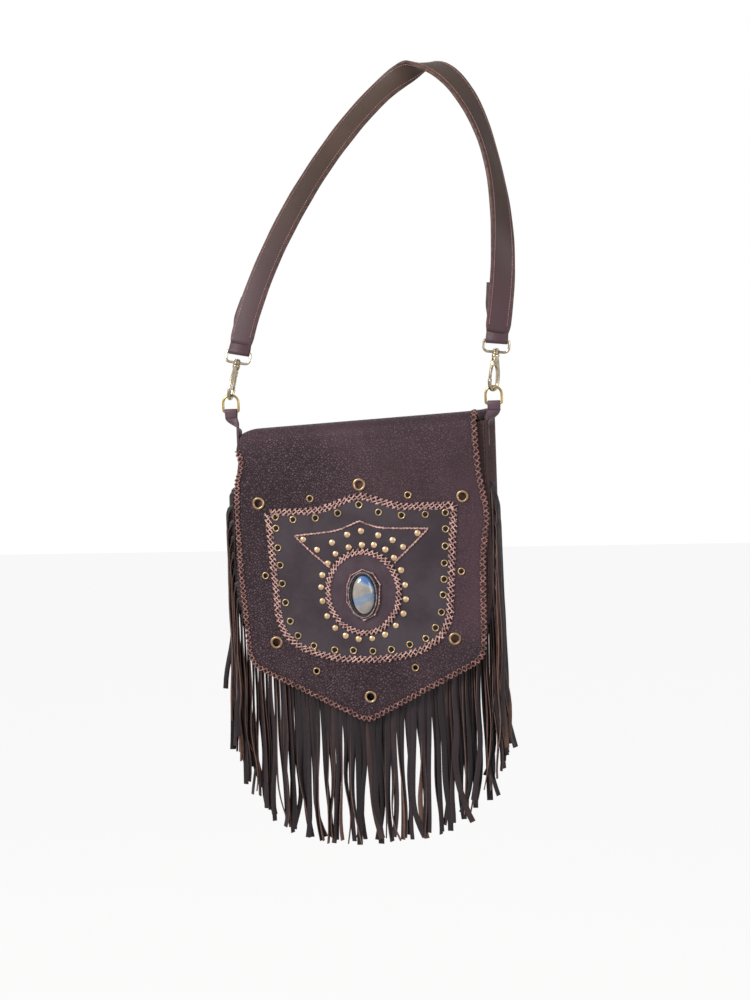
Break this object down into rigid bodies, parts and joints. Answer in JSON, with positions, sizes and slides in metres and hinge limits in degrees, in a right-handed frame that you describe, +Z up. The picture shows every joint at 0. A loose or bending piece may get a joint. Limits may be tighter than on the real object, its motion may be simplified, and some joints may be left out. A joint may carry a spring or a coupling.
{
  "type": "fringed shoulder bag",
  "caption": "Leather shoulder bag with a long cut fringe, a pointed flap carrying a studded shield patch and an oval stone, and a strap on swivel snap hooks.",
  "frame": {"origin": "underside of the strap's crest, where a shoulder or peg carries it", "axes": "+Z up along the hanging bag, +X to the right as the front is seen, -Y out of the front of the flap"},
  "size_m": [0.3505, 0.1484, 0.8999],
  "materials": {
    "body": "dark brown grained leather",
    "flap": "dark purple-brown pebbled leather",
    "patch": "grey-brown nubuck",
    "fringe": "soft cut suede",
    "strap": "brown leather, topstitched",
    "hardware": "antique brass",
    "eyelet": "worn coppery brass",
    "stone": "polished grey stone with a blue sheen"
  },
  "bodies": {
    "strap": {"strap": "strap", "right_loop": "hardware", "left_loop": "hardware"},
    "right_hook": {"right_hook": "hardware"},
    "right_gate": {"right_gate": "hardware"},
    "left_hook": {"left_hook": "hardware"},
    "left_gate": {"left_gate": "hardware"},
    "right_ring": {"right_ring": "hardware"},
    "left_ring": {"left_ring": "hardware"},
    "bag": {"front_panel": "body", "back_panel": "body", "gusset": "body", "fringe_left": "fringe", "fringe_right": "fringe", "fringe_bottom": "fringe", "right_tab": "body", "left_tab": "body"},
    "flap": {"flap": "flap", "shield_patch": "patch", "oval_patch": "patch", "stone": "stone", "stone_bezel": "patch", "large_eyelet_top": "eyelet", "large_eyelet_upper_left": "eyelet", "large_eyelet_upper_right": "eyelet", "large_eyelet_lower_left": "eyelet", "large_eyelet_lower_right": "eyelet", "large_eyelet_point": "eyelet", "small_eyelet_above_left": "eyelet", "small_eyelet_above_right": "eyelet", "small_eyelet_beside_left": "eyelet", "small_eyelet_beside_right": "eyelet", "small_eyelet_below_left": "eyelet", "small_eyelet_below_right": "eyelet"}
  },
  "joints": [
    {"name": "right_hook_swivel", "type": "hinge", "parent": "strap", "child": "right_hook", "pos_m": [0.09366, -0.101, -0.32576], "axis": [0.1093, 0, 0.994], "range_deg": [-3, 60]},
    {"name": "left_hook_swivel", "type": "hinge", "parent": "strap", "child": "left_hook", "pos_m": [-0.21203, -0.09103, -0.32741], "axis": [0.1925, 0.1925, 0.9623], "range_deg": [-20, 20]},
    {"name": "right_gate_pivot", "type": "hinge", "parent": "right_hook", "child": "right_gate", "pos_m": [0.08905, -0.10446, -0.3494], "axis": [0.8608, -0.5, -0.0947], "range_deg": [0, 25], "stiffness_Nm_per_rad": 0.03, "springref_deg": -20.05},
    {"name": "left_gate_pivot", "type": "hinge", "parent": "left_hook", "child": "left_gate", "pos_m": [-0.21665, -0.09173, -0.35128], "axis": [-0.9813, 0.0377, 0.1887], "range_deg": [0, 25], "stiffness_Nm_per_rad": 0.03, "springref_deg": -20.05},
    {"name": "right_ring_swing", "type": "hinge", "parent": "strap", "child": "right_ring", "pos_m": [0.088, -0.101, -0.37725], "axis": [1, 0, 0], "range_deg": [-10, 10]},
    {"name": "bag_swing", "type": "hinge", "parent": "right_ring", "child": "bag", "pos_m": [0.088, -0.101, -0.3965], "axis": [1, 0, 0], "range_deg": [-10, 10]},
    {"name": "left_ring_swing", "type": "hinge", "parent": "bag", "child": "left_ring", "pos_m": [-0.222, -0.101, -0.3965], "axis": [1, 0, 0], "range_deg": [-10, 10]},
    {"name": "flap_lift", "type": "hinge", "parent": "bag", "child": "flap", "pos_m": [-0.067, -0.064, -0.41], "axis": [-1, 0, 0], "range_deg": [0, 95]}
  ],
  "couplings": [
    {"joint": "left_ring_swing", "follows": "bag_swing", "ratio": -1}
  ]
}
